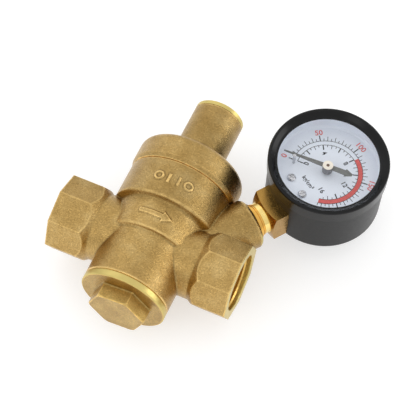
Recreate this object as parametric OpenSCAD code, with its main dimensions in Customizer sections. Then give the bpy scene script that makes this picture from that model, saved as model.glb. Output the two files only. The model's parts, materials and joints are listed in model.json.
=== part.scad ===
// Water pressure regulator, spring loaded piston type, 3/4 in female ports,
// with a 50 mm dial gauge on an angled boss.
// +X is the flow, inlet to outlet. +Y is the spring axis, towards the neck.
// +Z is the side the dial faces. The origin is the centre of the inlet mouth.

/* [Body casting] */
// Distance between the two port faces
port_span = 84.5; // [80:0.5:90]
// Across flats of the eight sided ends
end_af = 32.5; // [30:0.5:36]
// Outer radius of the large band that holds the piston
band_r = 23.9; // [22:0.1:26]
// Outer radius of the middle of the body
waist_r = 21.2; // [20:0.1:23]
// Outer radius of the lower barrel
barrel_r = 19.3; // [18:0.1:21]
// Outer radius of the pipe necks
pipe_r = 15; // [14:0.1:16]
// Wall of the tapped port, 3/4 in parallel pipe thread, pitch radius
port_r = 12.64; // [12:0.01:13.3]
// Depth of the tapped port
port_depth = 15; // [12:0.5:17]

/* [Bonnet and neck] */
// Outer radius of the bonnet ring
ring_r = 24.7; // [23:0.1:27]
// Outer radius of the neck
neck_r = 11.55; // [10:0.05:13]
// Height of the neck end above the pipe axis
neck_top = 71.8; // [66:0.1:76]
// Thickness of the cap flange
cap_thick = 2.3; // [1.5:0.1:4]

/* [Bottom plug] */
// Thickness of the plug flange
flange_thick = 3.15; // [2:0.05:5]
// Height of the plug hexagon
hex_height = 6.6; // [5:0.1:10]
// Across flats of the plug hexagon
hex_af = 22.9; // [20:0.1:27]
// Turn of the hexagon about the spring axis
hex_turn = 6.4; // [0:0.1:60]

/* [Regulating parts] */
// Radius of the piston bore
piston_bore_r = 16; // [14:0.1:17]
// Travel of the piston from open to shut
piston_travel = 2.5; // [1:0.1:4]
// Radius of the seat opening
seat_r = 6.5; // [5:0.1:8]
// Wire diameter of the main spring
spring_wire = 3; // [2:0.1:4]
// Number of coils
spring_turns = 5.5; // [4:0.5:8]

/* [Gauge] */
// Angle of the gauge stem from the pipe axis
stem_angle = 54.7; // [45:0.1:90]
// Where the stem axis crosses the pipe axis, from the spring axis
tap_x = 14.2; // [10:0.1:20]
// Distance from that point to the dial axis
gauge_reach = 73.4; // [65:0.1:80]
// Turn of the gauge about its stem
gauge_turn = 1.7; // [-5:0.1:5]
// Outer radius of the bezel
bezel_r = 26.4; // [25:0.1:28]
// Clear radius inside the bezel
window_r = 22.1; // [20:0.1:24]
// Height of the bezel front above the stem axis
front_z = 22; // [18:0.1:26]
// Whole depth of the gauge
gauge_depth = 32.9; // [26:0.1:36]
// Side of the square socket
socket_side = 16.9; // [14:0.1:18]

/* [Hidden] */
$fn = 64;
half_span = port_span / 2;
// Gap between pieces that touch
seam = 0.05;
// How far a cut runs past the surface it opens
over = 1;
// Small corner break on turned pieces
corner_break = 0.5;

// Body levels along the spring axis, from the pipe axis
body_foot = -24.95;
waist_foot = -2.7;
waist_top = 11.5;
band_foot = 14;
body_top = 31.1;
end_corner_r = end_af / 2 / cos(22.5);
end_back = 23.2;
end_full = 27.7;
end_relief = 0.4;
lip_half = 0.3;
lip_out = 0.4;
waist_round = 1;
waist_flare = 0.5;
waist_flare_length = 0.7;
band_round = 1.3;
step_angle = -80;
neck_bore_r = 10.8;
neck_bore_end = 17.5;
upper_chamber_r = 15;
lower_chamber_r = 14;
web_top = 1.5;
web_foot = -2.5;
seat_lip = 1;
seat_lip_r = 8;
piston_floor = 12;
piston_bore_top = 20;
bonnet_bore_r = 19.2;
plug_bore_r = 15.5;
plug_bore_top = -16;
seal_pocket_r = 17.2;
seal_pocket_top = -23.3;
plug_wall = 3.5;
plug_floor = 2;
flange_break = 0.25;
crown_flat = 1;
crown_out = 2;
crown_height = 0.7;

// Boss for the gauge, measured along the stem axis
boss_end = 35.4;
boss_end_r = 11.3;
boss_root_r = 9.6;
boss_root = 10;
boss_bevel = 1.2;
boss_land = 0.8;
tap_r = 6.2;
tap_depth = 12;
sense_r = 2;

// Raised flow arrow
arrow_y = 5.2;
arrow_tail = -7.2;
arrow_neck = 3.6;
arrow_tip = 8.2;
arrow_half = 1.1;
arrow_head_half = 2.5;
raise = 0.6;

// Raised row of plain marks on the band
mark_x = 1.2;
mark_y = 22;
mark_half = 2.2;
mark_stroke = 0.9;
mark_pitch = 4.6;
mark_margin = 4;
relief_root = 1;

// Bonnet
skirt_r = 19.15;
skirt_foot = 21.05;
skirt_bore_r = 17;
ring_full = 33.3;
ring_gap = 0.3;
ring_lip = 0.6;
neck_fillet = 0.3;
cavity_slope = 3;
seal_inset = 0.5;
shoulder_y = 41.3;
shoulder_round = 3.5;
shoulder_turn = 57;
neck_base = 50.4;
cavity_top = 37;
button_bore_r = 13.2;
button_bore_top = 45.5;
screw_bore_r = 8.2;

// Spring button and adjusting screw
spring_mean_r = 10.8;
coil_ease = 1.02;
coil_steps = 24;
wire_sides = 10;
button_foot = 41.5;
button_thick = 3;
button_r = 12.4;
pilot = 3;
pilot_gap = 0.2;
pilot_r = spring_mean_r - spring_wire / 2 - pilot_gap;
edge = 0.6;
screw_r = 8.15;
screw_foot = 47;
screw_head = 60;
nose_r = 5;
nose_taper = 1;
key_af = 8;
key_depth = 7;

// Neck cap
cap_foot = 66;
cap_wall = 2;
slot_w = 2;
slot_half = 8;
slot_depth = 1.4;

// Piston, stem and disc
piston_r = 15.92;
piston_foot = piston_floor + 0.1;
piston_head = 20.1;
piston_cup_r = 12.7;
piston_cup = 16.1;
stem_r = 2.5;
stem_flare = 2;
bore_gap = 0.05;
stem_foot = -13.6;
groove_y = 14.6;
groove_half = 1.2;
groove_r = 13.9;
seal_wire_r = 1;
disc_face = web_foot - seat_lip - piston_travel - seam;
disc_thick = 3;
disc_r = 8.7;
disc_proud = 0.8;
holder_r = 9.5;
holder_thick = 2;
nut_af = 8;
nut_thick = 2.5;
spring_foot = piston_cup + seam;
spring_head = button_foot - seam;

// Gauge, in its own frame: x up the dial, z out of the dial, stem at -x
case_r = 25.8;
case_bore_r = 24.8;
case_back = front_z - gauge_depth;
case_floor = case_back + 1;
case_round = 2.3;
case_rim = 17.6;
bezel_foot = 14.7;
bezel_edge = 0.25;
bezel_round = 0.8;
bezel_land = 1.5;
lip_in = 1;
lip_rise = 0.5;
gasket_in = 2.8;
lip_z = 19.8;
lens_foot = 18.25;
lens_top = 19.3;
lens_r = 25.6;
dial_z = 11.4;
dial_thick = 0.5;
dial_r = 23.2;
dial_rim_r = 24.2;
dial_rim_top = 17;
dial_wall = 0.6;
collar_r = 7.1;
collar_rim_r = 7.7;
collar_rim_width = 0.9;
collar_ridge_r = 7.4;
collar_ridge_width = 0.6;
collar_groove_r = 6.8;
collar_groove_width = 0.35;
washer_r = 8.6;
washer_thick = 1.1;
shank_r = 6.15;
shank_length = 10;
block_start = 41;
chamfer_length = 1.8;
block_end = -24;
inner_end = -13;
inner_half = 7;
inner_foot = -6;
inner_top = 3;
post_r = 2;
foot_r = 2.5;
foot_hole = 2;
feed_r = 1.5;
collar_land = 0.3;
tube_play = 0.5;
tube_seat = 25;
screw_hole_r = 1.15;
screw_radius = 15.8;
screw_spread = 17;
dial_turn = 2.4;
foot_x = -18.5;
foot_y = 4.5;
case_screw_r = 1.5;
case_head_r = 2.7;
case_head_thick = 1.6;
screw_bevel = 1;
screw_dome = 0.7;
screw_reach = 1.8;
cross_turn = 20;
cross_half = 1.6;
cross_width = 0.6;
cross_depth = 0.7;
screw_tip = 1.2;
dial_head_r = 1.87;
dial_head_thick = 1.1;
dial_head_dome = 0.15;
dial_cross_half = 1.2;
dial_cross_width = 0.44;
dial_cross_depth = 0.5;

// Movement
pinion_r = 0.85;
pinion_teeth = 10;
pinion_tooth = 0.12;
pinion_foot = 4.3;
pinion_top = 6.9;
sector_teeth = 110;
sector_tooth = 0.2;
sector_window_r = 1;
tail_pad_r = 1.2;
pin_proud = 0.3;
arbor_r = 0.7;
pivot_hole = 0.8;
sector_pivot_y = 10.5;
sector_r = 9.6;
sector_ahead = 28;
sector_behind = 4;
sector_window = -14;
sector_window_x = 5;
sector_hub_r = 1.6;
sector_foot = 5.2;
sector_top = 6.4;
tail_arm = 5;
tail_half = 1;
tail_angle = 50;
pin_r = 0.6;
eye_r = 0.9;
link_half = 0.7;
link_foot = 6.55;
link_top = 7.15;
back_plate_foot = inner_top + seam;
plate_thick = 1;
tongue_half = 1.7;
tongue_end = -22;
tongue_hole_x = -17.5;
tongue_hole_r = 1.1;
plate_half = 6.5;
plate_edge = -12.6;
pivot_pad_r = 3;
arbor_pad_r = 4.5;
pillar_x = -10.5;
pillar_y = 4.8;
pillar_r = 1.1;
front_plate_foot = 8.6;
tube_r = 19.5;
tube_thick = 1.1;
tube_half = 3;
tube_wall = 0.4;
tube_root = 165;
tube_end = 3;
tube_tip = -100;
tip_size = 1.9;
tip_near = 1.6;
tip_lead = 5;
pointer_z = 16.2;
pointer_thick = 0.5;
pointer_tip = 20.3;
pointer_tail = 11.2;
pointer_rest = -126.5;
blade_tip = 0.25;
blade_taper = 4;
blade_neck = 0.42;
blade_root = 1;
neck_x = 3.3 - pointer_tail;
tail_neck = 1.2;
tail_barb = 1.9;
hub_r = 2.3;
hub_foot = 13;
hub_top = 17.4;
pin_radius = 15;
pin_angle = -131.5;
pin_head = 17;
pin_head_r = 0.75;
arbor_gap = 0.02;
hair_turns = 4;
hair_in = 1.3;
hair_out = 5;
hair_thick = 0.25;
hair_steps = 20;
hair_foot = 7.45;
hair_width = 0.6;

brass = [0.72, 0.58, 0.34];
bright_brass = [0.85, 0.70, 0.36];
steel = [0.62, 0.63, 0.65];
rubber = [0.12, 0.12, 0.13];
black = [0.08, 0.08, 0.09];
white = [0.86, 0.88, 0.92];

// Frames
module at_valve() {
    translate([half_span, 0, 0])
        children();
}

module along_y() {
    rotate([-90, 0, 0])
        children();
}

module along_x() {
    rotate([0, 90, 0])
        children();
}

module at_stem() {
    at_valve()
        translate([tap_x, 0, 0])
            rotate([0, 0, stem_angle])
                rotate([gauge_turn, 0, 0])
                    children();
}

module at_dial() {
    at_stem()
        translate([gauge_reach, 0, 0])
            children();
}

module at_screw(side) {
    at_clock(screw_radius, 180 + dial_turn + side * screw_spread)
        children();
}

module at_clock(radius, angle) {
    translate([radius * cos(angle), -radius * sin(angle), 0])
        children();
}

// A turned solid about +Y, from [radius, height] points
module turned_y(points) {
    along_y()
        rotate_extrude()
            polygon(points);
}

module ring_y(outer, inner, foot, top) {
    turned_y([[inner, foot], [outer, foot], [outer, top], [inner, top]]);
}

module ring_z(outer, inner, foot, top) {
    rotate_extrude()
        polygon([[inner, foot], [outer, foot], [outer, top], [inner, top]]);
}

module rod_y(radius, foot, top) {
    translate([0, foot, 0])
        along_y()
            cylinder(r = radius, h = top - foot);
}

module rod_x(radius, start, end) {
    translate([start, 0, 0])
        along_x()
            cylinder(r = radius, h = end - start);
}

module rod_z(radius, foot, top) {
    translate([0, 0, foot])
        cylinder(r = radius, h = top - foot);
}

function arc(centre, radius, from, to, steps) =
    [for (i = [0 : steps])
        let (angle = from + (to - from) * i / steps)
            [centre[0] + radius * cos(angle), centre[1] + radius * sin(angle)]];

// Body casting
module eight_sided_end() {
    reach = end_corner_r + 2 * seam;
    intersection() {
        along_x()
            cylinder(r = end_corner_r, h = half_span, $fn = 8);
        along_x()
            rotate_extrude()
                polygon([[0, end_back], [pipe_r - end_relief, end_back], [reach, end_full],
                    [reach, half_span], [0, half_span]]);
    }
}

module body_shell() {
    turned_y(concat(
        [[0, body_foot], [barrel_r - corner_break, body_foot],
            [barrel_r, body_foot + corner_break]],
        [[barrel_r, waist_foot - lip_half], [barrel_r + lip_out, waist_foot + lip_half]],
        arc([waist_r - waist_round, waist_foot + 1.5 * waist_round], waist_round,
            step_angle, 0, 4),
        [[waist_r, waist_top], [waist_r + waist_flare, waist_top + waist_flare_length]],
        arc([band_r - band_round, band_foot], band_round, step_angle, 0, 5),
        [[band_r, body_top], [0, body_top]]));
    rod_x(pipe_r, -end_back - over, end_back + over);
    eight_sided_end();
    mirror([1, 0, 0])
        eight_sided_end();
    translate([tap_x, 0, 0])
        rotate([0, 0, stem_angle])
            along_x()
                rotate_extrude()
                    polygon([[0, boss_root], [boss_root_r, boss_root],
                        [boss_end_r, boss_end - boss_bevel], [boss_end_r - boss_land, boss_end],
                        [0, boss_end]]);
}

module flow_arrow() {
    intersection() {
        ring_y(waist_r + raise, waist_r - relief_root, waist_foot, waist_top);
        linear_extrude(height = band_r)
            polygon([[arrow_tail, arrow_y - arrow_half],
                [arrow_neck, arrow_y - arrow_half],
                [arrow_neck, arrow_y - arrow_head_half],
                [arrow_tip, arrow_y],
                [arrow_neck, arrow_y + arrow_head_half],
                [arrow_neck, arrow_y + arrow_half],
                [arrow_tail, arrow_y + arrow_half]]);
    }
}

module band_marks() {
    intersection() {
        ring_y(band_r + raise, band_r - relief_root, mark_y - mark_margin, mark_y + mark_margin);
        linear_extrude(height = band_r + 2 * over)
            translate([mark_x, mark_y])
                for (side = [-1, 1]) {
                    translate([side * 1.5 * mark_pitch, 0])
                        difference() {
                            circle(r = mark_half);
                            circle(r = mark_half - mark_stroke);
                        }
                    translate([side * 0.5 * mark_pitch, 0])
                        square([mark_stroke, 2 * mark_half], center = true);
                }
    }
}

module port_cut() {
    rod_x(port_r, half_span - port_depth, half_span + over);
    rod_x(neck_bore_r, neck_bore_end, half_span);
}

module body_cut() {
    port_cut();
    mirror([1, 0, 0])
        port_cut();
    intersection() {
        rod_x(neck_bore_r, 0, neck_bore_end + over);
        translate([0, web_top, -neck_bore_r])
            cube([neck_bore_end + over, neck_bore_r, 2 * neck_bore_r]);
    }
    intersection() {
        rod_x(neck_bore_r, -neck_bore_end - over, 0);
        translate([-neck_bore_end - over, -neck_bore_r, -neck_bore_r])
            cube([neck_bore_end + over, neck_bore_r + web_foot, 2 * neck_bore_r]);
    }
    rod_y(upper_chamber_r, web_top, piston_floor + over);
    rod_y(piston_bore_r, piston_floor, body_top);
    rod_y(bonnet_bore_r, piston_bore_top, body_top + over);
    rod_y(ring_r + ring_gap, body_top, neck_base);
    difference() {
        rod_y(lower_chamber_r, plug_bore_top - over, web_foot);
        rod_y(seat_lip_r, web_foot - seat_lip, 0);
    }
    rod_y(seat_r, plug_bore_top, web_top + over);
    rod_y(plug_bore_r, body_foot - over, plug_bore_top);
    rod_y(seal_pocket_r, body_foot - over, seal_pocket_top);
    translate([tap_x, 0, 0])
        rotate([0, 0, stem_angle]) {
            rod_x(tap_r, boss_end - tap_depth, boss_end + over);
            rod_x(sense_r, neck_bore_r, boss_end);
        }
}

module body() {
    color(brass)
        at_valve()
            difference() {
                union() {
                    body_shell();
                    flow_arrow();
                    band_marks();
                }
                body_cut();
            }
}

// Bonnet with the neck for the adjusting screw
module bonnet() {
    shoulder_r = ring_r - shoulder_round;
    color(brass)
        at_valve()
            turned_y(concat(
                [[skirt_bore_r, skirt_foot], [skirt_r, skirt_foot],
                    [skirt_r, body_top + seam], [band_r, body_top + seam],
                    [ring_r - ring_lip / 3, ring_full - ring_lip], [ring_r, ring_full]],
                arc([shoulder_r, shoulder_y], shoulder_round, 0, shoulder_turn, 6),
                [[neck_r + neck_fillet, neck_base], [neck_r, neck_base + neck_fillet],
                    [neck_r, neck_top], [screw_bore_r, neck_top],
                    [screw_bore_r, button_bore_top], [button_bore_r, button_bore_top],
                    [button_bore_r, cavity_top + cavity_slope],
                    [skirt_bore_r, cavity_top]]));
}

module bonnet_seal() {
    color(rubber)
        at_valve()
            ring_y(skirt_r - seam, skirt_bore_r - seal_inset, piston_bore_top,
                skirt_foot - seam);
}

module neck_cap() {
    top = neck_top + cap_thick;
    color(bright_brass)
        at_valve()
            difference() {
                turned_y([[0, cap_foot + cap_wall], [screw_r - cap_wall, cap_foot + cap_wall],
                    [screw_r - cap_wall, cap_foot], [screw_r, cap_foot],
                    [screw_r, neck_top + seam], [neck_r, neck_top + seam],
                    [neck_r, top - corner_break], [neck_r - corner_break, top], [0, top]]);
                translate([-slot_half, top - slot_depth, -slot_w / 2])
                    cube([2 * slot_half, slot_depth + over, slot_w]);
            }
}

module adjusting_screw() {
    color(bright_brass)
        at_valve()
            difference() {
                turned_y([[0, button_foot + button_thick + seam],
                    [nose_r - nose_taper, button_foot + button_thick + seam],
                    [nose_r, screw_foot], [screw_r - edge, screw_foot],
                    [screw_r, screw_foot + edge], [screw_r, screw_head - edge],
                    [screw_r - edge, screw_head], [0, screw_head]]);
                translate([0, screw_head - key_depth, 0])
                    along_y()
                        cylinder(r = key_af / 2 / cos(30), h = key_depth + over, $fn = 6);
            }
}

module spring_button() {
    top = button_foot + button_thick;
    color(steel)
        at_valve()
            turned_y([[0, button_foot - pilot],
                [pilot_r - corner_break, button_foot - pilot],
                [pilot_r, button_foot], [button_r, button_foot],
                [button_r, top - edge], [button_r - edge, top], [0, top]]);
}

// Closed end coils, even pitch between them
function coil_height(turn, turns, wire, length) =
    let (free = length - wire, closed = wire * coil_ease, middle = turns - 2,
        pitch = (free - 2 * closed) / middle)
            turn < 1 ? turn * closed
            : turn > turns - 1 ? free - (turns - turn) * closed
            : closed + (turn - 1) * pitch;

module coil_spring(mean_r, wire, turns, foot, head) {
    steps = turns * coil_steps;
    sides = wire_sides;
    points = [for (i = [0 : steps])
        let (turn = i * turns / steps, angle = turn * 360,
            height = foot + wire / 2 + coil_height(turn, turns, wire, head - foot))
                for (j = [0 : sides - 1])
                    let (around = j * 360 / sides, reach = mean_r + wire / 2 * cos(around))
                        [reach * cos(angle), height + wire / 2 * sin(around), reach * sin(angle)]];
    side_faces = [for (i = [0 : steps - 1])
        for (j = [0 : sides - 1])
            let (next = (j + 1) % sides)
                [i * sides + j, i * sides + next,
                    (i + 1) * sides + next, (i + 1) * sides + j]];
    start_face = [for (j = [sides - 1 : -1 : 0]) j];
    end_face = [for (j = [0 : sides - 1]) steps * sides + j];
    polyhedron(points = points, faces = concat(side_faces, [start_face, end_face]));
}

module main_spring() {
    color(steel)
        at_valve()
            coil_spring(spring_mean_r, spring_wire, spring_turns, spring_foot, spring_head);
}

module piston() {
    color(bright_brass)
        at_valve()
            turned_y([[0, stem_foot], [stem_r, stem_foot], [stem_r, piston_foot - stem_flare],
                [stem_r + stem_flare, piston_foot], [piston_r, piston_foot],
                [piston_r, groove_y - groove_half], [groove_r, groove_y - groove_half],
                [groove_r, groove_y + groove_half], [piston_r, groove_y + groove_half],
                [piston_r, piston_head], [piston_cup_r, piston_head],
                [piston_cup_r, piston_cup], [0, piston_cup]]);
}

module torus_y(mean_r, wire_r, height) {
    translate([0, height, 0])
        along_y()
            rotate_extrude()
                translate([mean_r, 0])
                    circle(r = wire_r);
}

module piston_seal() {
    color(rubber)
        at_valve()
            torus_y(piston_r - seal_wire_r, seal_wire_r, groove_y);
}

module valve_disc() {
    color(rubber)
        at_valve()
            ring_y(disc_r, stem_r + bore_gap, disc_face - disc_thick, disc_face);
}

module disc_holder() {
    foot = disc_face - disc_thick - holder_thick;
    color(bright_brass)
        at_valve()
            turned_y([[stem_r + bore_gap, foot], [holder_r, foot], [holder_r, disc_face - disc_proud],
                [disc_r + bore_gap, disc_face - disc_proud],
                [disc_r + bore_gap, disc_face - disc_thick - seam],
                [stem_r + bore_gap, disc_face - disc_thick - seam]]);
}

module stem_nut() {
    top = disc_face - disc_thick - holder_thick - seam;
    color(steel)
        at_valve()
            difference() {
                translate([0, top - nut_thick, 0])
                    along_y()
                        cylinder(r = nut_af / 2 / cos(30), h = nut_thick, $fn = 6);
                rod_y(stem_r + bore_gap, top - nut_thick - over, top + over);
            }
}

// Bottom plug
module bottom_plug() {
    flange_top = body_foot - seam;
    flange_foot = flange_top - flange_thick;
    plug_r = plug_bore_r - seam;
    hex_foot = flange_foot - hex_height;
    crown_r = hex_af / 2;
    color(brass)
        at_valve()
            difference() {
                union() {
                    turned_y([[0, flange_foot], [barrel_r - flange_break, flange_foot],
                        [barrel_r, flange_foot + flange_break],
                        [barrel_r, flange_top - flange_break],
                        [barrel_r - flange_break, flange_top], [plug_r, flange_top],
                        [plug_r, plug_bore_top - over], [0, plug_bore_top - over]]);
                    intersection() {
                        translate([0, hex_foot, 0])
                            rotate([0, -hex_turn, 0])
                                along_y()
                                    cylinder(r = crown_r / cos(30), h = hex_height + over,
                                        $fn = 6);
                        turned_y([[0, hex_foot], [crown_r + crown_flat, hex_foot],
                            [crown_r + crown_out, hex_foot + crown_height],
                            [crown_r + crown_out, flange_foot + over],
                            [0, flange_foot + over]]);
                    }
                }
                rod_y(plug_bore_r - plug_wall, flange_top + plug_floor, plug_bore_top);
            }
}

module plug_seal() {
    color(rubber)
        at_valve()
            torus_y((plug_bore_r + seal_pocket_r) / 2, (seal_pocket_r - plug_bore_r) / 2 - seam,
                (body_foot + seal_pocket_top) / 2);
}

// Gauge
module boss_washer() {
    start = boss_end + seam;
    color(bright_brass)
        at_stem()
            along_x()
                ring_z(washer_r, shank_r + seam, start, start + washer_thick);
}

// Turned collar of the socket: a rim, a narrow ridge and a wide ring, with a groove between them
module socket_collar(start, end) {
    rim_end = start + collar_rim_width;
    ridge_start = rim_end + collar_groove_width;
    ridge_end = ridge_start + collar_ridge_width;
    ring_start = ridge_end + collar_groove_width;
    along_x()
        rotate_extrude()
            polygon([[0, start], [collar_rim_r, start], [collar_rim_r, rim_end],
                [collar_groove_r, rim_end], [collar_groove_r, ridge_start],
                [collar_ridge_r, ridge_start], [collar_ridge_r, ridge_end],
                [collar_groove_r, ridge_end], [collar_groove_r, ring_start],
                [collar_r, ring_start], [collar_r, end], [0, end]]);
}

module gauge_socket() {
    collar_start = boss_end + washer_thick + 2 * seam - gauge_reach;
    block = block_start - gauge_reach;
    half = socket_side / 2;
    corner = half * sqrt(2) + 4 * seam;
    color(bright_brass)
        at_dial()
            difference() {
                union() {
                    rod_x(shank_r, collar_start - shank_length, collar_start + over);
                    socket_collar(collar_start, block + over);
                    intersection() {
                        translate([block, -half, -half])
                            cube([block_end - block, socket_side, socket_side]);
                        along_x()
                            rotate_extrude()
                                polygon([[0, block], [collar_r + collar_land, block],
                                    [corner, block + chamfer_length], [corner, block_end],
                                    [0, block_end]]);
                    }
                    translate([block_end - over, -inner_half, inner_foot])
                        cube([inner_end - block_end + over, 2 * inner_half,
                            inner_top - inner_foot]);
                    for (side = [-1, 1]) {
                        at_screw(side)
                            rod_z(post_r, inner_top - over, dial_z - dial_thick - seam);
                        translate([foot_x, side * foot_y, 0])
                            rod_z(foot_r, case_floor + seam, inner_foot + over);
                    }
                }
                rod_x(feed_r, collar_start - shank_length - over, tube_thick - tube_r);
                for (side = [-1, 1]) {
                    at_screw(side)
                        rod_z(screw_hole_r, inner_top + over, dial_z);
                    translate([foot_x, side * foot_y, 0])
                        rod_z(case_screw_r + seam, case_back, inner_foot + foot_hole);
                }
                tube_arc(seam, tube_root + tube_play, tube_root - tube_seat);
            }
}

module gauge_case() {
    half = socket_side / 2 + 2 * seam;
    color(black)
        at_dial()
            difference() {
                rotate_extrude()
                    polygon(concat(
                        [[0, case_back]],
                        arc([case_r - case_round, case_back + case_round], case_round, -90, 0, 6),
                        [[case_r, case_rim], [case_bore_r, case_rim], [case_bore_r, case_floor],
                            [0, case_floor]]));
                translate([-case_r - over, -half, -half])
                    cube([case_r + block_end + 3 * over, 2 * half, 2 * half]);
                for (side = [-1, 1])
                    translate([foot_x, side * foot_y, 0])
                        rod_z(case_screw_r + seam, case_back - over, case_floor + over);
            }
}

module case_screw(side) {
    head_foot = case_back - case_head_thick;
    color(steel)
        at_dial()
            translate([foot_x, side * foot_y, 0])
                difference() {
                    union() {
                        rod_z(case_screw_r, case_back - screw_dome, inner_foot + screw_reach);
                        rotate_extrude()
                            polygon([[0, head_foot], [case_head_r - screw_bevel, head_foot],
                                [case_head_r, head_foot + screw_dome],
                                [case_head_r, case_back - seam], [0, case_back - seam]]);
                    }
                    for (turn = [0, 90])
                        rotate([0, 0, turn + cross_turn])
                            translate([-cross_half, -cross_width / 2, head_foot - over])
                                cube([2 * cross_half, cross_width, over + cross_depth]);
                }
}

module case_screw_a() {
    case_screw(-1);
}

module case_screw_b() {
    case_screw(1);
}

module gauge_bezel() {
    color(black)
        at_dial()
            rotate_extrude()
                polygon([[case_r + seam, bezel_foot], [bezel_r - bezel_edge, bezel_foot],
                    [bezel_r, bezel_foot + bezel_edge], [bezel_r, front_z - bezel_round],
                    [bezel_r - bezel_edge, front_z - bezel_edge],
                    [bezel_r - bezel_round, front_z], [bezel_r - bezel_land, front_z],
                    [window_r + lip_in, lip_z + lip_rise], [window_r, lip_z],
                    [window_r, lens_top + seam], [case_r + seam, lens_top + seam]]);
}

module gauge_lens() {
    color([0.8, 0.88, 0.92, 0.25])
        at_dial()
            rod_z(lens_r, lens_foot, lens_top);
}

module lens_gasket() {
    color(rubber)
        at_dial()
            ring_z(lens_r, window_r + gasket_in, case_rim + seam, lens_foot - seam);
}

module gauge_dial() {
    color(white)
        at_dial()
            difference() {
                rotate_extrude()
                    polygon([[0, dial_z - dial_thick], [dial_r, dial_z - dial_thick],
                        [dial_rim_r, dial_z + dial_thick], [dial_rim_r, dial_rim_top],
                        [dial_rim_r - dial_wall, dial_rim_top],
                        [dial_rim_r - dial_wall, dial_z + dial_wall],
                        [dial_r - dial_wall, dial_z], [0, dial_z]]);
                rod_z(2 * arbor_r, 0, dial_z + over);
                for (side = [-1, 1])
                    at_screw(side)
                        rod_z(screw_hole_r, 0, dial_z + over);
                at_clock(pin_radius, pin_angle)
                    rod_z(pin_r, 0, dial_z + over);
            }
}

module dial_screw(side) {
    head = dial_head_r;
    top = dial_z + dial_head_thick;
    color(steel)
        at_dial()
            at_screw(side)
                difference() {
                    union() {
                        rod_z(screw_hole_r - seam, inner_top + screw_tip, dial_z + corner_break);
                        rotate_extrude()
                            polygon([[0, dial_z + seam], [head, dial_z + seam],
                                [head, dial_z + corner_break],
                                [head - corner_break, top - dial_head_dome],
                                [head - 2 * corner_break, top], [0, top]]);
                    }
                    for (turn = [0, 90])
                        rotate([0, 0, turn + side * cross_turn])
                            translate([-dial_cross_half, -dial_cross_width / 2,
                                top - dial_cross_depth])
                                cube([2 * dial_cross_half, dial_cross_width, over]);
                }
}

module dial_screw_a() {
    dial_screw(-1);
}

module dial_screw_b() {
    dial_screw(1);
}

module stop_pin() {
    color(steel)
        at_dial()
            at_clock(pin_radius, pin_angle) {
                rod_z(pin_r - arbor_gap, dial_z - 2 * dial_thick, pin_head + seam);
                rod_z(pin_head_r, pin_head, pin_head + dial_thick);
            }
}

// Long slim blade ahead of the hub, short arrow tail behind it
module pointer_half() {
    polygon([[pointer_tip, -seam], [pointer_tip, blade_tip],
        [pointer_tip - blade_taper, blade_neck], [hub_r, blade_root],
        [neck_x, tail_neck], [neck_x - seam, tail_barb],
        [-pointer_tail, blade_neck], [-pointer_tail, -seam]]);
}

module pointer() {
    color(steel)
        at_dial()
            rotate([0, 0, -pointer_rest])
                difference() {
                    union() {
                        translate([0, 0, pointer_z])
                            linear_extrude(height = pointer_thick) {
                                pointer_half();
                                mirror([0, 1])
                                    pointer_half();
                            }
                        rod_z(hub_r, hub_foot, hub_top);
                    }
                    rod_z(arbor_r, hub_foot - over, hub_top + over);
                }
}

module toothed_disc(radius, teeth, depth, foot, top, from, to) {
    count = teeth * (to - from) / 360;
    translate([0, 0, foot])
        linear_extrude(height = top - foot)
            polygon(concat(
                [for (i = [0 : 2 * count - (to - from == 360 ? 1 : 0)])
                    let (angle = from + i * (to - from) / (2 * count),
                        reach = i % 2 == 0 ? radius : radius - depth)
                            [reach * cos(angle), reach * sin(angle)]],
                to - from == 360 ? [] : [[0, 0]]));
}

module pinion_arbor() {
    color(bright_brass)
        at_dial() {
            rod_z(arbor_r - arbor_gap, back_plate_foot + 2 * seam, hub_top - 2 * seam);
            toothed_disc(pinion_r, pinion_teeth, pinion_tooth, pinion_foot, pinion_top, 0, 360);
        }
}

module sector_gear() {
    color(bright_brass)
        at_dial()
            translate([0, sector_pivot_y, 0])
                difference() {
                    union() {
                        rotate([0, 0, -90])
                            toothed_disc(sector_r, sector_teeth, sector_tooth, sector_foot, sector_top,
                                -sector_ahead, sector_behind);
                        rod_z(sector_hub_r, sector_foot, sector_top);
                        rotate([0, 0, tail_angle])
                            translate([0, -tail_half, sector_foot])
                                cube([tail_arm, 2 * tail_half, sector_top - sector_foot]);
                        rotate([0, 0, tail_angle])
                            translate([tail_arm, 0, 0]) {
                                rod_z(tail_pad_r, sector_foot, sector_top);
                                rod_z(pin_r, sector_top - seam, link_top + pin_proud);
                            }
                        rod_z(arbor_r - seam, back_plate_foot + 2 * seam,
                            front_plate_foot + plate_thick - 2 * seam);
                    }
                    rotate([0, 0, sector_window - 90])
                        translate([sector_window_x, 0, 0])
                            rod_z(sector_window_r, sector_foot - over, sector_top + over);
                }
}

module tube_arc(grow, from, to) {
    half = tube_half + grow;
    thick = tube_thick + grow;
    rotate([0, 0, -from])
        rotate_extrude(angle = from - to)
            translate([tube_r, 0]) {
                square([2 * thick, 2 * (half - thick)], center = true);
                for (side = [-1, 1])
                    translate([0, side * (half - thick)])
                        circle(r = thick);
            }
}

module bourdon_tube() {
    color(bright_brass)
        at_dial()
            difference() {
                tube_arc(0, tube_root, tube_tip);
                tube_arc(-tube_wall, tube_root + tube_play, tube_tip + tube_end);
            }
}

module tube_tip_lug() {
    color(bright_brass)
        at_dial()
            at_clock(tube_r, tube_tip - tip_lead)
                rotate([0, 0, -tube_tip]) {
                    translate([-tip_size, -tip_near, -tube_half])
                        cube([2 * tip_size, 2 * tip_near, tube_half + link_foot - seam]);
                    rod_z(pin_r, link_foot - over, link_top + pin_proud);
                }
}

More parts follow.
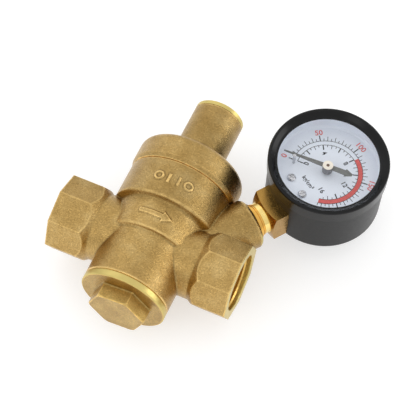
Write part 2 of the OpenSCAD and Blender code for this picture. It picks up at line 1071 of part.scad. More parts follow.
module link() {
    tip_x = tube_r * cos(tube_tip - tip_lead);
    tip_y = -tube_r * sin(tube_tip - tip_lead);
    tail_x = tail_arm * cos(tail_angle);
    tail_y = sector_pivot_y + tail_arm * sin(tail_angle);
    length = norm([tail_x - tip_x, tail_y - tip_y]);
    turn = atan2(tail_y - tip_y, tail_x - tip_x);
    color(bright_brass)
        at_dial()
            translate([tip_x, tip_y, link_foot])
                rotate([0, 0, turn])
                    difference() {
                        union() {
                            translate([0, -link_half, 0])
                                cube([length, 2 * link_half, link_top - link_foot]);
                            for (x = [0, length])
                                translate([x, 0, 0])
                                    cylinder(r = eye_r + link_half, h = link_top - link_foot);
                        }
                        for (x = [0, length])
                            translate([x, 0, -over])
                                cylinder(r = eye_r, h = 3 * over);
                    }
}

// Movement plates reach from the socket to the dial axis and the sector pivot
module plate_outline() {
    difference() {
        union() {
            circle(r = arbor_pad_r);
            translate([0, sector_pivot_y])
                circle(r = pivot_pad_r);
            translate([-pivot_pad_r, 0])
                square([2 * pivot_pad_r, sector_pivot_y]);
            translate([plate_edge, -plate_half])
                square([-plate_edge, 2 * plate_half]);
        }
        circle(r = pivot_hole);
        translate([0, sector_pivot_y])
            circle(r = pivot_hole);
    }
}

module movement_back_plate() {
    color(bright_brass)
        at_dial()
            translate([0, 0, back_plate_foot]) {
                linear_extrude(height = plate_thick)
                    plate_outline();
                linear_extrude(height = plate_thick)
                    difference() {
                        translate([tongue_end, -tongue_half])
                            square([plate_edge - tongue_end + over / 2, 2 * tongue_half]);
                        translate([tongue_hole_x, 0])
                            circle(r = tongue_hole_r);
                    }
            }
}

module movement_front_plate() {
    color(bright_brass)
        at_dial()
            translate([0, 0, front_plate_foot])
                linear_extrude(height = plate_thick)
                    plate_outline();
}

module pillar(side) {
    color(steel)
        at_dial()
            translate([pillar_x, side * pillar_y, 0])
                rod_z(pillar_r, back_plate_foot + plate_thick + seam, front_plate_foot - seam);
}

module pillar_a() {
    pillar(-1);
}

module pillar_b() {
    pillar(1);
}

module hairspring() {
    steps = hair_turns * hair_steps;
    step = 360 / hair_steps;
    growth = (hair_out - hair_in) / steps;
    inner = [for (i = [0 : steps])
        let (reach = hair_in + growth * i)
            [reach * cos(i * step), reach * sin(i * step)]];
    outer = [for (i = [steps : -1 : 0])
        let (reach = hair_in + hair_thick + growth * i)
            [reach * cos(i * step), reach * sin(i * step)]];
    color(steel)
        at_dial()
            translate([0, 0, hair_foot])
                linear_extrude(height = hair_width)
                    polygon(concat(inner, outer));
}

body();
bonnet();
bonnet_seal();
bottom_plug();
plug_seal();
neck_cap();
adjusting_screw();
spring_button();
main_spring();
piston();
piston_seal();
valve_disc();
disc_holder();
stem_nut();
boss_washer();
gauge_socket();
gauge_case();
case_screw_a();
case_screw_b();
gauge_bezel();
gauge_lens();
lens_gasket();
gauge_dial();
dial_screw_a();
dial_screw_b();
stop_pin();
pointer();
pinion_arbor();
sector_gear();
link();
bourdon_tube();
tube_tip_lug();
movement_back_plate();
movement_front_plate();
pillar_a();
pillar_b();
hairspring();
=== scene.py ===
"""Looks of the water pressure regulator, in metres, in the frame of the CAD part.

+X is the flow, +Y the spring axis towards the neck, +Z the side the dial faces.
"""
import json
import math

import bmesh
import bpy
import numpy as np
from mathutils import Matrix, Vector


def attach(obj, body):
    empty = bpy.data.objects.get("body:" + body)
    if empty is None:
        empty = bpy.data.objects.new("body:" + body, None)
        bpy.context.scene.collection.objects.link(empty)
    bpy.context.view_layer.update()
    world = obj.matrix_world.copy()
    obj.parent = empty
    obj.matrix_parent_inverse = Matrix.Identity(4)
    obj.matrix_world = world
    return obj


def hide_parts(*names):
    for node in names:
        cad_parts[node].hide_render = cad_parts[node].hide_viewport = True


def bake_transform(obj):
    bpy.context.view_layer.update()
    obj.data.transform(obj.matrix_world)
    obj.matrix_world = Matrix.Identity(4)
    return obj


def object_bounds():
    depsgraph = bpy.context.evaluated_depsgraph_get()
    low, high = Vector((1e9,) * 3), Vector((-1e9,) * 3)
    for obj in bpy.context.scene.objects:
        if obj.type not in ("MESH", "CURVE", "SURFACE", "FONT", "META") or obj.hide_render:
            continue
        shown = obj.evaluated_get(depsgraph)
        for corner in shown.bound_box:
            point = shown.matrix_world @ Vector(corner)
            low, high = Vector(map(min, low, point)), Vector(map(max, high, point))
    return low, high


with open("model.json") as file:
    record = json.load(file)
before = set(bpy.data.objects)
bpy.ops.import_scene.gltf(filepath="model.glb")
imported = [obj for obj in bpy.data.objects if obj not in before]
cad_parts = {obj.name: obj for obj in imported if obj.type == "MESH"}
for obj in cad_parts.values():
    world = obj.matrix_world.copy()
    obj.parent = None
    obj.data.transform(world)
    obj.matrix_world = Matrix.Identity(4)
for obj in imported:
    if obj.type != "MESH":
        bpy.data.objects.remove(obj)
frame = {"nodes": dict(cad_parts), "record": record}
CAD_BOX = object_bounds()
NODES = frame["nodes"]
MM = 0.001
# In metres, the gap under which points are one, and how far the floor is below the part
WELD_GAP = 0.00001
FLOOR_GAP = 0.0002

# Measures in millimetres -------------------------------------------------

# The pipe axis and the spring axis cross at the valve, half way along the pipe
HALF_SPAN = 42.25
VALVE = Vector((HALF_SPAN, 0, 0)) * MM
TO_VALVE = np.array([HALF_SPAN, 0, 0])

# The gauge: local x up the dial, local z out of it
STEM_ANGLE = math.radians(54.7)
STEM_DIR = np.array([math.cos(STEM_ANGLE), math.sin(STEM_ANGLE), 0.0])
GAUGE_TURN = math.radians(1.7)
GAUGE_REACH = 73.4
TAP_X = 14.2
DIAL_FRAME = (
    Matrix.Translation(Vector((HALF_SPAN + TAP_X, 0, 0)) * MM)
    @ Matrix.Rotation(STEM_ANGLE, 4, "Z")
    @ Matrix.Rotation(GAUGE_TURN, 4, "X")
    @ Matrix.Translation(Vector((GAUGE_REACH, 0, 0)) * MM)
)
TO_DIAL = DIAL_FRAME.inverted()
DIAL_AXIS = Vector(DIAL_FRAME.col[2][:3])
HUB_R = 2.4
ARBOR_TOP = 16
BLOCK_X = 41.05 - GAUGE_REACH
RING_X = 38.75 - GAUGE_REACH

# Print on the dial
DIAL_Z = 11.4
PRINT_FOOT = DIAL_Z + 0.01
PRINT_TOP = DIAL_Z + 0.05
TEXT_Z = DIAL_Z + 0.035
# Height of a capital letter in a font of size 1
CAPITAL_HEIGHT = 0.7
SCALE_END = 137
PSI_START, PSI_STEP = -125.6, 1.167
KG_START, KG_STEP = -131.3, 16.83
ZERO_TICK = -126.0
KG_ZERO_ANGLE = -124.0
# Inner and outer radius of each ring, and of the red band with the angle where it starts
PSI_RING = (15.68, 15.9)
KG_RING = (13.6, 13.82)
RED_RING = (13.85, 15.65)
RED_START = 4.5
# Where the scale lines start, then the ends and widths of the longest, the next and the shortest
PSI_TICK_FOOT, PSI_TICK_ENDS, PSI_TICK_WIDTHS = 15.8, (18.6, 18.0, 17.0), (0.45, 0.25, 0.25)
KG_TICK_FOOT, KG_TICK_ENDS, KG_TICK_WIDTHS = 13.7, (11.3, 11.9, 12.7), (0.5, 0.26, 0.26)
ZERO_TICK_SPANS, ZERO_TICK_WIDTH = ((15.8, 17.8), (10.6, 13.5)), 0.42
PSI_TEXT_R, PSI_TEXT_HEIGHT = 20.0, 2.5
KG_TEXT_R, KG_TEXT_HEIGHT = 9.5, 2.1
UNIT_TEXT_R, UNIT_ANGLE, UNIT_TEXT_HEIGHT = 9.9, 178, 1.9

# The span of the body along the spring axis, for the painted light and shade on the cast brass
LEVEL_LOW, LEVEL_HIGH = -36, 76

# Part of the way to its neighbours' middle that a point goes in a round of smoothing, and the
# rounds that show how far an edge stands out
SMOOTH_STEP = 0.6
CURVE_ROUNDS = 8
# A casting skin's share of the smoothing: 1 is as the rest, less is crisper, more is softer
CRISP = 0.03
CRISP_BONNET = 0.05
CRISP_FLANGE = 0.06
RAISED = 0.1
SOFT_RIM = 1.3
SOFT_SEAM = 1.5

# Places on the castings: x, y and radii are about the valve centre, boss places along and off the stem
PORT_FACE_X = 41.5
PORT_BORE_R = 13.2
PORT_FLOOR_X = 17.0
THREAD_FLOOR_X = 26.5
SEAM_Y = 30.4
SEAM_INNER_R = 23
CHAMBER_R, CHAMBER_FLOOR_Y = 19.0, 12.5
SEAT_R, SEAT_TOP_Y = 15.2, -2
PLUG_SEAT_Y = -24.3
BOSS_FACE = 34.4
BOSS_LAND_R = 10.5
BOSS_R = 14
TAP_START, TAP_R = 20, 6.5
RAISED_X = 11
ARROW_LOW_Y, ARROW_HIGH_Y, ARROW_R = 1.8, 8.4, 20.6
MARKS_LOW_Y, MARKS_HIGH_Y, MARKS_R = 18.5, 25.5, 23.3
NECK_END_Y, NECK_BORE_R = 71.0, 9.5
SPRING_ROOM_R, SPRING_ROOM_TOP_Y = 18, 46
FLANGE_FACE_Y, FLANGE_BACK_Y, FLANGE_R = -28.35, -24.9, 18.9
FLANGE_CRISP_Y = -28.0

# Height at which the coil is cut into its two halves
SPRING_CUT = 22


# Materials ---------------------------------------------------------------

def srgb(r, g, b):
    """8 bit screen colour to linear RGBA."""
    def one(c):
        c /= 255
        return c / 12.92 if c <= 0.04045 else ((c + 0.055) / 1.055) ** 2.4
    return (one(r), one(g), one(b), 1.0)


def grey(v):
    """A neutral linear colour."""
    return (v, v, v, 1.0)


def scaled(colour, factor):
    """A lighter or darker colour, up to white."""
    return tuple(min(1.0, c * factor) for c in colour[:3]) + (1.0,)


def new_material(name):
    """An empty principled material, with the coordinates that its textures follow."""
    mat = bpy.data.materials.new(name)
    mat.use_nodes = True
    nodes, links = mat.node_tree.nodes, mat.node_tree.links
    nodes.clear()
    out = nodes.new("ShaderNodeOutputMaterial")
    bsdf = nodes.new("ShaderNodeBsdfPrincipled")
    links.new(bsdf.outputs["BSDF"], out.inputs["Surface"])
    coord = nodes.new("ShaderNodeTexCoord")
    return mat, nodes, links, bsdf, coord.outputs["Object"]


def noise(nodes, links, coord, scale, detail, rough=0.55):
    """Noise with so many cells per metre."""
    n = nodes.new("ShaderNodeTexNoise")
    n.inputs["Scale"].default_value = scale
    n.inputs["Detail"].default_value = detail
    n.inputs["Roughness"].default_value = rough
    links.new(coord, n.inputs["Vector"])
    return n.outputs["Fac"]


def ramp(nodes, links, fac, stops):
    """Stops are (position, colour), or (position, brightness)."""
    r = nodes.new("ShaderNodeValToRGB")
    e = r.color_ramp.elements
    while len(e) < len(stops):
        e.new(0.5)
    for el, (pos, col) in zip(e, stops):
        el.position = pos
        el.color = col if isinstance(col, tuple) else grey(col)
    links.new(fac, r.inputs["Fac"])
    return r.outputs["Color"]


def bump(nodes, links, bsdf, height, distance, strength, before=None):
    """Fine relief, in metres, on top of the bump before it."""
    b = nodes.new("ShaderNodeBump")
    b.inputs["Distance"].default_value = distance
    b.inputs["Strength"].default_value = strength
    links.new(height, b.inputs["Height"])
    if before is not None:
        links.new(before, b.inputs["Normal"])
    links.new(b.outputs["Normal"], bsdf.inputs["Normal"])
    return b.outputs["Normal"]


def mix(nodes, links, fac, a, b, blend="MIX"):
    """Two colours mixed; fac and the colours are values or sockets."""
    m = nodes.new("ShaderNodeMix")
    m.data_type = "RGBA"
    m.blend_type = blend
    if isinstance(fac, float):
        m.inputs[0].default_value = fac
    else:
        links.new(fac, m.inputs[0])
    for socket, value in ((m.inputs[6], a), (m.inputs[7], b)):
        if isinstance(value, tuple):
            socket.default_value = value
        else:
            links.new(value, socket)
    return m.outputs[2]


def level_shade(nodes, links, coord, painted_light_steps):
    """Painted light and shade: brightness by height along the spring axis, from (millimetres, brightness)
    pairs.
    """
    split = nodes.new("ShaderNodeSeparateXYZ")
    links.new(coord, split.inputs["Vector"])
    height = nodes.new("ShaderNodeMapRange")
    height.inputs["From Min"].default_value = LEVEL_LOW * MM
    height.inputs["From Max"].default_value = LEVEL_HIGH * MM
    links.new(split.outputs["Y"], height.inputs["Value"])
    span = LEVEL_HIGH - LEVEL_LOW
    return ramp(nodes, links, height.outputs["Result"], [((y - LEVEL_LOW) / span, v) for y, v in painted_light_steps])


def blasted_brass(name, dark, mid, light, rough, painted_light_steps=None):
    """Sand blasted cast brass: fine grain, soft mottling, edges lightened as rubbed wear and painted
    highlight, and painted shade in inside corners.

    The skin's "curve" attribute says where the edges (over 0.5) and the corners (under 0.5) are."""
    mat, nodes, links, bsdf, coord = new_material(name)
    broad = noise(nodes, links, coord, 110, 4, 0.6)
    fine = noise(nodes, links, coord, 1750, 5, 0.8)
    pits = noise(nodes, links, coord, 3400, 2, 0.5)
    patches = noise(nodes, links, coord, 420, 3, 0.6)
    ground = ramp(nodes, links, broad, [(0.32, dark), (0.50, mid), (0.68, light)])
    speck = ramp(nodes, links, fine, [(0.34, 0.60), (0.45, 0.90), (0.54, 1.0), (0.65, 1.5)])
    ground = mix(nodes, links, 1.0, ground, speck, "MULTIPLY")
    # Painted light and shade by height along the spring axis
    if painted_light_steps:
        ground = mix(nodes, links, 1.0, ground, level_shade(nodes, links, coord, painted_light_steps), "MULTIPLY")
    curve = nodes.new("ShaderNodeAttribute")
    curve.attribute_name = "curve"
    edge = curve.outputs["Fac"]
    # Painted shade: darker where the skin curves in, in inside corners and creases
    painted_corner_shade = ramp(nodes, links, edge, [(0.30, 0.38), (0.42, 0.72), (0.485, 1.0)])
    ground = mix(nodes, links, 1.0, ground, painted_corner_shade, "MULTIPLY")
    # Lighter edges where the skin curves out: rubbed wear and painted highlight
    ridge = ramp(nodes, links, edge, [(0.522, 0.0), (0.58, 1.0)])
    patchy = ramp(nodes, links, patches, [(0.35, 0.35), (0.62, 0.95)])
    wear_and_painted_highlight = mix(nodes, links, 1.0, ridge, patchy, "MULTIPLY")
    links.new(mix(nodes, links, wear_and_painted_highlight, ground, scaled(light, 1.55)), bsdf.inputs["Base Color"])
    bsdf.inputs["Metallic"].default_value = 1.0
    dull = ramp(nodes, links, fine, [(0.3, rough + 0.08), (0.7, rough - 0.08)])
    links.new(mix(nodes, links, wear_and_painted_highlight, dull, grey(rough - 0.10)), bsdf.inputs["Roughness"])
    grain = bump(nodes, links, bsdf, fine, 0.00011, 1.0)
    bump(nodes, links, bsdf, pits, 0.00010, 0.8, grain)
    return mat


def turned_metal(name, base, rough, grain=0.12):
    """Machined metal with faint tool marks."""
    mat, nodes, links, bsdf, coord = new_material(name)
    marks = noise(nodes, links, coord, 900, 2, 0.5)
    cloud = noise(nodes, links, coord, 120, 3)
    links.new(ramp(nodes, links, cloud, [(0.35, scaled(base, 0.88)), (0.65, base)]),
              bsdf.inputs["Base Color"])
    bsdf.inputs["Metallic"].default_value = 1.0
    links.new(ramp(nodes, links, marks, [(0.3, rough - 0.05), (0.7, rough + 0.07)]),
              bsdf.inputs["Roughness"])
    bump(nodes, links, bsdf, marks, 0.00003, grain)
    return mat


def coated(name, base, rough, peel_depth, scale, fade=0.82, shine=0.5):
    """Paint, rubber or print: plain colour with a fine uneven surface."""
    mat, nodes, links, bsdf, coord = new_material(name)
    peel = noise(nodes, links, coord, scale, 3)
    links.new(ramp(nodes, links, peel, [(0.3, scaled(base, fade)), (0.7, base)]),
              bsdf.inputs["Base Color"])
    links.new(ramp(nodes, links, peel, [(0.3, rough), (0.7, rough + 0.06)]), bsdf.inputs["Roughness"])
    bsdf.inputs["Specular IOR Level"].default_value = shine
    bump(nodes, links, bsdf, peel, peel_depth, 0.5)
    return mat


def clear_lens(name):
    """Thin clear plastic with a trace of haze."""
    mat, nodes, links, bsdf, coord = new_material(name)
    bsdf.inputs["Base Color"].default_value = (0.97, 0.985, 1.0, 1.0)
    haze = noise(nodes, links, coord, 200, 2)
    links.new(ramp(nodes, links, haze, [(0.3, 0.010), (0.7, 0.016)]), bsdf.inputs["Roughness"])
    bsdf.inputs["IOR"].default_value = 1.02
    bsdf.inputs["Transmission Weight"].default_value = 1.0
    bsdf.inputs["Alpha"].default_value = 0.25
    return mat


# The steps after the colours paint light and shade by height along the spring axis: darker on the band and
# the neck
cast = blasted_brass("cast_brass_look", srgb(173, 140, 82), srgb(187, 154, 94), srgb(199, 168, 109), 0.29,
                     painted_light_steps=((-20, 0.98), (6, 1.02), (10, 0.91), (14, 0.85), (29, 0.85), (34, 0.93),
                             (44, 0.91), (52, 0.78), (72, 0.84)))
plug_look = blasted_brass("plug_brass_look", srgb(170, 138, 78), srgb(184, 152, 88),
                          srgb(197, 166, 100), 0.33)
bright = turned_metal("bright_brass_look", srgb(216, 195, 120), 0.34, 0.06)
thread = turned_metal("thread_brass_look", srgb(226, 186, 104), 0.3, 0.05)
washer = turned_metal("washer_brass_look", srgb(236, 184, 92), 0.20, 0.03)
socket = turned_metal("socket_brass_look", srgb(186, 144, 74), 0.24, 0.03)
collar = turned_metal("collar_brass_look", srgb(255, 226, 142), 0.2, 0.03)
bronze = turned_metal("tube_bronze_look", srgb(196, 150, 92), 0.30)
steel = turned_metal("steel_look", srgb(205, 205, 208), 0.24)
spring = turned_metal("spring_steel_look", srgb(150, 152, 158), 0.34)
hub_cream = turned_metal("hub_cream_look", srgb(246, 238, 224), 0.34)
hub_side = turned_metal("hub_side_look", srgb(150, 148, 148), 0.3)
hub_pit = turned_metal("hub_pit_look", srgb(120, 100, 88), 0.4)
rubber = coated("rubber_look", srgb(30, 30, 31), 0.62, 0.00006, 700)
case_black = coated("case_black_look", srgb(12, 12, 13), 0.34, 0.00002, 900, shine=0.28)
bezel_black = coated("bezel_black_look", srgb(6, 6, 7), 0.2, 0.000004, 300, shine=0.28)
dial_white = coated("dial_white_look", srgb(234, 239, 248), 0.5, 0.000002, 400, 0.985)
pointer_grey = coated("pointer_grey_look", srgb(117, 118, 115), 0.45, 0.000002, 500)
print_black = coated("print_black_look", srgb(30, 31, 36), 0.55, 0.000002, 900)
print_red = coated("print_red_look", srgb(230, 106, 101), 0.55, 0.000002, 900)
lens = clear_lens("lens_look")

LOOKS = {
    "cast_brass": cast, "plug_brass": plug_look, "cap_brass": bright, "turned_brass": bright,
    "washer_brass": washer, "socket_brass": socket, "tube_bronze": bronze, "steel": steel,
    "spring_steel": spring, "rubber": rubber, "case_black": case_black,
    "bezel_black": bezel_black, "dial_white": dial_white, "pointer_grey": pointer_grey,
    "lens": lens,
}

for part in frame["record"]["subparts"]:
    obj = NODES[part["node"]]
    obj.data.materials.clear()
    obj.data.materials.append(LOOKS[part["material_slot"]])


def pick_faces(node, material, test):
    """Gives the faces of a CAD node that pass the test a second material."""
    mesh = NODES[node].data
    mesh.materials.append(material)
    index = len(mesh.materials) - 1
    for face in mesh.polygons:
        if test(TO_DIAL @ face.center, face.normal.dot(DIAL_AXIS)):
            face.material_index = index


pick_faces("pointer", hub_cream, lambda at, up: at.xy.length < HUB_R * MM)
pick_faces("pointer", hub_side, lambda at, up: at.xy.length < HUB_R * MM and up < 0.3)
pick_faces("pinion_arbor", hub_pit, lambda at, up: up > 0.9 and at.z > ARBOR_TOP * MM)
# Behind the block of the socket the wide ring is polished; the ridge and rim are deeper in colour
pick_faces("gauge_socket", collar, lambda at, up: at.x < BLOCK_X * MM)
pick_faces("gauge_socket", washer, lambda at, up: at.x < RING_X * MM)


# Helpers for meshes ------------------------------------------------------

def link(name, data):
    """A new object in the scene."""
    obj = bpy.data.objects.new(name, data)
    bpy.context.scene.collection.objects.link(obj)
    return obj


def final_mesh(temp):
    """The mesh of a temporary object after its modifiers; the object is removed."""
    bpy.context.view_layer.update()
    mesh = bpy.data.meshes.new_from_object(temp.evaluated_get(bpy.context.evaluated_depsgraph_get()))
    bpy.data.objects.remove(temp)
    return mesh


def add_piece(name, bm, material, matrix=None):
    """A piece of added geometry on the fixed body."""
    mesh = bpy.data.meshes.new(name)
    bm.normal_update()
    bm.to_mesh(mesh)
    bm.free()
    mesh.materials.append(material)
    if matrix is not None:
        mesh.transform(matrix)
    obj = link(name, mesh)
    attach(obj, "valve_body")


def closed_strip(bm, rows):
    """Closed solid through rows of four points each."""
    rows = [[bm.verts.new(point) for point in row] for row in rows]
    faces = [bm.faces.new(rows[0]), bm.faces.new(rows[-1][::-1])]
    for one, two in zip(rows, rows[1:]):
        for i in range(4):
            j = (i + 1) % 4
            faces.append(bm.faces.new((one[i], one[j], two[j], two[i])))
    bmesh.ops.recalc_face_normals(bm, faces=faces)


# Castings ----------------------------------------------------------------

def boss_frame(co):
    """Distance along the stem axis and off it, for points about the valve centre."""
    rel = co - np.array([TAP_X, 0, 0])
    along = rel @ STEM_DIR
    off = np.linalg.norm(rel - along[:, None] * STEM_DIR, axis=1)
    return along, off


def body_keep(co):
    """How far each point of the body may be smoothed: machined faces and bores stay crisp."""
    x, y, z = co.T
    pipe = np.hypot(y, z)
    turned = np.hypot(x, z)
    along, off = boss_frame(co)
    w = np.ones(len(co))
    w[np.abs(x) > PORT_FACE_X] = CRISP
    w[(pipe < PORT_BORE_R) & (np.abs(x) > PORT_FLOOR_X)] = CRISP
    w[(y > SEAM_Y) & (turned < SEAM_INNER_R) | (y < PLUG_SEAT_Y)] = CRISP
    w[(y > SEAM_Y - 0.5) & (turned > SEAM_INNER_R)] = SOFT_SEAM
    w[(turned < CHAMBER_R) & (y > CHAMBER_FLOOR_Y)] = CRISP
    w[(turned < SEAT_R) & (y < SEAT_TOP_Y)] = RAISED
    w[(along > BOSS_FACE) & (off < BOSS_LAND_R)] = CRISP
    w[(along > BOSS_FACE - 0.6) & (off > BOSS_LAND_R) & (off < BOSS_R)] = SOFT_RIM
    w[(along > TAP_START) & (off < TAP_R)] = CRISP
    arrow = (y > ARROW_LOW_Y) & (y < ARROW_HIGH_Y) & (turned > ARROW_R)
    marks = (y > MARKS_LOW_Y) & (y < MARKS_HIGH_Y) & (turned > MARKS_R)
    w[(z > 0) & (np.abs(x) < RAISED_X) & (arrow | marks)] = RAISED
    return w


def bonnet_keep(co):
    """The bonnet stays crisp at its inner seam, inside and at the neck end."""
    x, y, z = co.T
    turned = np.hypot(x, z)
    w = np.ones(len(co))
    w[(y < SEAM_Y + 1.5) & (turned < SEAM_INNER_R) | (y > NECK_END_Y)] = CRISP_BONNET
    w[(y < SEAM_Y + 1.8) & (turned > SEAM_INNER_R)] = SOFT_SEAM
    w[(turned < NECK_BORE_R) | ((turned < SPRING_ROOM_R) & (y < SPRING_ROOM_TOP_Y))] = CRISP_BONNET
    return w


def plug_keep(co):
    """The flange of the plug stays crisp."""
    return np.where(co[:, 1] > FLANGE_CRISP_Y, CRISP_FLANGE, 1.0)


def body_pick(centre, normal):
    """Machined faces of the body: the port ends and bores, and the face of the boss."""
    x, y, z = centre.T
    pipe = np.hypot(y, z)
    along, off = boss_frame(centre)
    face = (np.abs(x) > PORT_FACE_X + 0.5) & (np.abs(normal[:, 0]) > 0.85)
    bore = (pipe < PORT_BORE_R) & (np.abs(x) > THREAD_FLOOR_X)
    tap = (along > BOSS_FACE + 0.5) & (off < BOSS_LAND_R + 1.1) & (normal @ STEM_DIR > 0.8)
    return face | bore | tap


def bonnet_pick(centre, normal):
    """The bonnet is all of one finish."""
    return np.zeros(len(centre), bool)


def plug_pick(centre, normal):
    """The turned edge of the flange."""
    x, y, z = centre.T
    return (np.hypot(x, z) > FLANGE_R) & (y > FLANGE_FACE_Y) & (y < FLANGE_BACK_Y)


def cast_skin(node, name, voxel, rounds, keep, materials, pick):
    """The node's shape with the soft inside corners of a casting: remeshed, then smoothed.

    keep gives each point's share of the smoothing, and pick the faces of the second material."""
    temp = link(name + "_source", NODES[node].data.copy())
    weld = temp.modifiers.new("weld", "WELD")
    weld.merge_threshold = WELD_GAP
    remesh = temp.modifiers.new("remesh", "REMESH")
    remesh.mode = "VOXEL"
    remesh.voxel_size = voxel * MM
    mesh = final_mesh(temp)
    count = len(mesh.vertices)
    co = np.empty(count * 3)
    mesh.vertices.foreach_get("co", co)
    co = co.reshape(-1, 3) / MM - TO_VALVE
    edges = np.empty(len(mesh.edges) * 2, np.int64)
    mesh.edges.foreach_get("vertices", edges)
    one, two = edges.reshape(-1, 2).T
    degree = (np.bincount(one, minlength=count) + np.bincount(two, minlength=count))[:, None]

    def smoothed(points, weight):
        total = np.stack([np.bincount(one, points[two, k], count) + np.bincount(two, points[one, k], count)
                          for k in range(3)], 1)
        return points + SMOOTH_STEP * weight * (total / degree - points)

    weight = keep(co)[:, None]
    for _ in range(rounds):
        co = smoothed(co, weight)
    mesh.vertices.foreach_set("co", ((co + TO_VALVE) * MM).ravel())
    mesh.update()
    soft = co
    for _ in range(CURVE_ROUNDS):
        soft = smoothed(soft, 1.0)
    out = np.empty(count * 3, np.float32)
    mesh.vertex_normals.foreach_get("vector", out)
    bulge = ((co - soft) * out.reshape(-1, 3)).sum(1)
    curve = mesh.attributes.new("curve", "FLOAT", "POINT")
    curve.data.foreach_set("value", np.clip(0.5 + bulge, 0, 1).astype(np.float32))
    mesh.materials.clear()
    for material in materials:
        mesh.materials.append(material)
    faces = len(mesh.polygons)
    mesh.polygons.foreach_set("use_smooth", np.ones(faces, bool))
    mesh.update()
    centre, normal = np.empty(faces * 3), np.empty(faces * 3)
    mesh.polygons.foreach_get("center", centre)
    mesh.polygons.foreach_get("normal", normal)
    picked = pick(centre.reshape(-1, 3) / MM - TO_VALVE, normal.reshape(-1, 3))
    mesh.polygons.foreach_set("material_index", picked.astype(np.int32))
    return link(name, mesh)


for node, name, voxel, rounds, keep, looks, pick, slot in (
    ("body", "body_casting", 0.30, 3, body_keep, [cast, bright], body_pick, "cast_brass"),
    ("bonnet", "bonnet_casting", 0.30, 2, bonnet_keep, [cast], bonnet_pick, "cast_brass"),
    ("bottom_plug", "plug_casting", 0.28, 2, plug_keep, [plug_look, bright], plug_pick, "plug_brass"),
):
    skin = cast_skin(node, name, voxel, rounds, keep, looks, pick)
    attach(skin, "valve_body")
    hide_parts(node)


# Turned and wound pieces -------------------------------------------------

def thread_ridge(name, start, end, wall, crest, pitch):
    """Inside thread: a helical ridge on the wall of a port, from start to end along the pipe."""
    steps = 48
    count = int(abs(end - start) / pitch * steps)
    sign = 1 if end > start else -1
    foot, flat = 0.46 * pitch, 0.08 * pitch
    rows = []
    for i in range(count + 1):
        a = 2 * math.pi * i / steps
        x = start + sign * pitch * i / steps
        fade = min(1.0, i / (steps / 2), (count - i) / (steps / 2))
        tip = wall - (wall - crest) * max(fade, 0.02)
        section = ((-foot, wall + 0.05), (-flat, tip), (flat, tip), (foot, wall + 0.05))
        rows.append([VALVE + Vector((x + dx, r * math.cos(a), r * math.sin(a))) * MM for dx, r in section])
    bm = bmesh.new()
    closed_strip(bm, rows)
    add_piece(name, bm, thread)


for side, label in ((-1, "inlet_thread"), (1, "outlet_thread")):
    thread_ridge(label, start=side * 40.9, end=side * 28.5, wall=12.64, crest=12.06, pitch=1.814)


def spring_half(name, above):
    """The coils above or below the cut, closed with a face at the cut."""
    bm = bmesh.new()
    bm.from_mesh(NODES["main_spring"].data)
    bmesh.ops.remove_doubles(bm, verts=bm.verts, dist=0.001 * MM)
    middle = Vector((HALF_SPAN, SPRING_CUT, 0)) * MM
    cut = bmesh.ops.bisect_plane(bm, geom=bm.verts[:] + bm.edges[:] + bm.faces[:], plane_co=middle,
                                 plane_no=(0, 1, 0), clear_inner=above, clear_outer=not above)
    rim = [item for item in cut["geom_cut"] if isinstance(item, bmesh.types.BMEdge)]
    bmesh.ops.contextual_create(bm, geom=rim)
    bmesh.ops.triangulate(bm, faces=[face for face in bm.faces if len(face.verts) > 4])
    bmesh.ops.recalc_face_normals(bm, faces=bm.faces)
    mesh = bpy.data.meshes.new(name)
    bm.to_mesh(mesh)
    bm.free()
    mesh.materials.append(spring)
    obj = link(name, mesh)
    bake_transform(obj)
    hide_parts("main_spring")


spring_half("main_spring_head", True)
spring_half("main_spring_foot", False)


# Print on the dial -------------------------------------------------------

def clock(radius, degrees, z):
    """A point on the dial in its own frame; 0 is at the top, clockwise is positive."""
    a = math.radians(degrees)
    return Vector((radius * math.cos(a), -radius * math.sin(a), z)) * MM


def tick(bm, inner, outer, degrees, width):
    """A scale line as a closed thin solid."""
    rows = []
    for z in (PRINT_FOOT, PRINT_TOP):
        row = []
        for radius, side in ((inner, -1), (outer, -1), (outer, 1), (inner, 1)):
            half = math.degrees(width / 2 / radius)
            row.append(clock(radius, degrees + side * half, z))
        rows.append(row)
    closed_strip(bm, rows)


def band(bm, inner, outer, start, end):
    """Ring sector as one closed strip, with a row about every 3 degrees."""
    count = int((end - start) / 3)
    rows = []
    for i in range(count + 1):
        a = start + (end - start) * i / count
        rows.append([clock(inner, a, PRINT_FOOT), clock(outer, a, PRINT_FOOT),
                     clock(outer, a, PRINT_TOP), clock(inner, a, PRINT_TOP)])
    closed_strip(bm, rows)


def dial_text(name, words, radius, degrees, height, material, turn=None):
    """Thin raised characters on the dial, turned with the scale unless a turn is given."""
    curve = bpy.data.curves.new(name, "FONT")
    curve.body = words
    curve.size = height / CAPITAL_HEIGHT * MM
    curve.align_x = "CENTER"
    curve.align_y = "CENTER"
    curve.extrude = 0.02 * MM
    curve.offset = 0.05 * MM
    curve.resolution_u = 3
    mesh = final_mesh(link(name + "_outline", curve))
    bpy.data.curves.remove(curve)
    spin = -math.radians(degrees if turn is None else turn)
    mesh.transform(DIAL_FRAME @ Matrix.Translation(clock(radius, degrees, TEXT_Z))
                   @ Matrix.Rotation(spin - math.pi / 2, 4, "Z"))
    mesh.materials.clear()
    mesh.materials.append(material)
    obj = link(name, mesh)
    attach(obj, "valve_body")


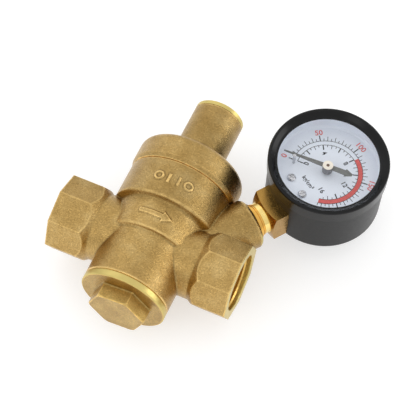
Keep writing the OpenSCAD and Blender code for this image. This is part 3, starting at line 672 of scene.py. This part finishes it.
black = bmesh.new()
band(black, *PSI_RING, PSI_START, SCALE_END)
band(black, *KG_RING, ZERO_TICK, SCALE_END)
for value in range(5, 226, 5):
    angle = PSI_START + PSI_STEP * value
    if angle > SCALE_END:
        break
    rank = 0 if value % 50 == 0 else (1 if value % 10 == 0 else 2)
    tick(black, PSI_TICK_FOOT, PSI_TICK_ENDS[rank], angle, PSI_TICK_WIDTHS[rank])
for inner, outer in ZERO_TICK_SPANS:
    tick(black, inner, outer, ZERO_TICK, ZERO_TICK_WIDTH)
for half in range(2, 33):
    value = half / 2
    angle = KG_START + KG_STEP * value
    if angle > SCALE_END:
        break
    rank = 0 if value % 2 == 0 else (1 if value % 1 == 0 else 2)
    tick(black, KG_TICK_ENDS[rank], KG_TICK_FOOT, angle, KG_TICK_WIDTHS[rank])
add_piece("dial_scale_black", black, print_black, DIAL_FRAME)

red = bmesh.new()
band(red, *RED_RING, RED_START, SCALE_END)
add_piece("dial_band_red", red, print_red, DIAL_FRAME)

for value in (0, 50, 100, 150, 200):
    angle = PSI_START + PSI_STEP * value
    dial_text(f"psi_{value}", str(value), PSI_TEXT_R, angle, PSI_TEXT_HEIGHT, print_red)
for value in (0, 4, 8, 12, 16):
    angle = KG_ZERO_ANGLE if value == 0 else KG_START + KG_STEP * value
    turn = angle if value == 0 else 0
    dial_text(f"kg_{value}", str(value), KG_TEXT_R, angle, KG_TEXT_HEIGHT, print_black, turn)
dial_text("unit_kg", "kg/cm²", UNIT_TEXT_R, UNIT_ANGLE, UNIT_TEXT_HEIGHT, print_black, 0)


# Floor, light and camera -------------------------------------------------

sheet = bmesh.new()
bmesh.ops.create_grid(sheet, x_segments=1, y_segments=1, size=3.0)
mesh = bpy.data.meshes.new("floor")
sheet.to_mesh(mesh)
sheet.free()
floor = link("floor", mesh)
floor.location = (0, 0, CAD_BOX[0][2] - FLOOR_GAP)
mat, nodes, links, bsdf, coord = new_material("floor_look")
links.new(ramp(nodes, links, noise(nodes, links, coord, 3, 2), [(0.3, 0.60), (0.7, 0.64)]),
          bsdf.inputs["Base Color"])
bsdf.inputs["Roughness"].default_value = 0.7
bsdf.inputs["Specular IOR Level"].default_value = 0.2
bsdf.inputs["Emission Color"].default_value = grey(1.0)
bsdf.inputs["Emission Strength"].default_value = 0.53
mesh.materials.append(mat)

world = bpy.data.worlds.new("studio")
bpy.context.scene.world = world
world.use_nodes = True
nodes, links = world.node_tree.nodes, world.node_tree.links
nodes.clear()
out = nodes.new("ShaderNodeOutputWorld")
back = nodes.new("ShaderNodeBackground")
sky = nodes.new("ShaderNodeTexCoord")
split = nodes.new("ShaderNodeSeparateXYZ")
links.new(sky.outputs["Generated"], split.inputs["Vector"])
links.new(ramp(nodes, links, split.outputs["Z"], [(0.0, 0.78), (1.0, 1.0)]), back.inputs["Color"])
back.inputs["Strength"].default_value = 0.98
links.new(back.outputs["Background"], out.inputs["Surface"])

AIM = VALVE + Vector((20, 15, 0)) * MM


def soft_light(name, direction, distance, size, power):
    """A round soft light that looks at the part from a direction."""
    light = bpy.data.lights.new(name, "AREA")
    light.shape = "DISK"
    light.size = size
    light.energy = power
    obj = link(name, light)
    d = Vector(direction).normalized()
    obj.location = AIM + d * distance
    obj.rotation_mode = "QUATERNION"
    obj.rotation_quaternion = d.to_track_quat("Z", "Y")


soft_light("left_back", (-0.66, 0.46, 0.60), distance=0.9, size=0.9, power=0.5)
soft_light("right_low", (0.86, 0.46, 0.24), distance=1.0, size=0.6, power=1.5)
soft_light("front", (-0.30, -0.9, 0.9), distance=1.0, size=0.5, power=0.5)

# The camera stands where the photo's did, found from the outlines of the part
CAMERA_AT = Vector((137.547 + HALF_SPAN, -261.219, 549.718)) * MM
CAMERA_RIGHT = Vector((0.91296, 0.40791, 0.01036))
CAMERA_AHEAD = Vector((-0.19417, 0.45662, -0.86821))
camera_data = bpy.data.cameras.new("camera")
camera_data.sensor_width = 36
camera_data.lens = 125.13
camera_data.clip_start = 0.01
camera_data.clip_end = 10
camera = link("camera", camera_data)
camera_turn = Matrix((CAMERA_RIGHT, CAMERA_RIGHT.cross(CAMERA_AHEAD), -CAMERA_AHEAD)).transposed()
camera.matrix_world = Matrix.Translation(CAMERA_AT) @ camera_turn.to_4x4()
bpy.context.scene.camera = camera
bpy.context.scene.view_settings.view_transform = "Standard"
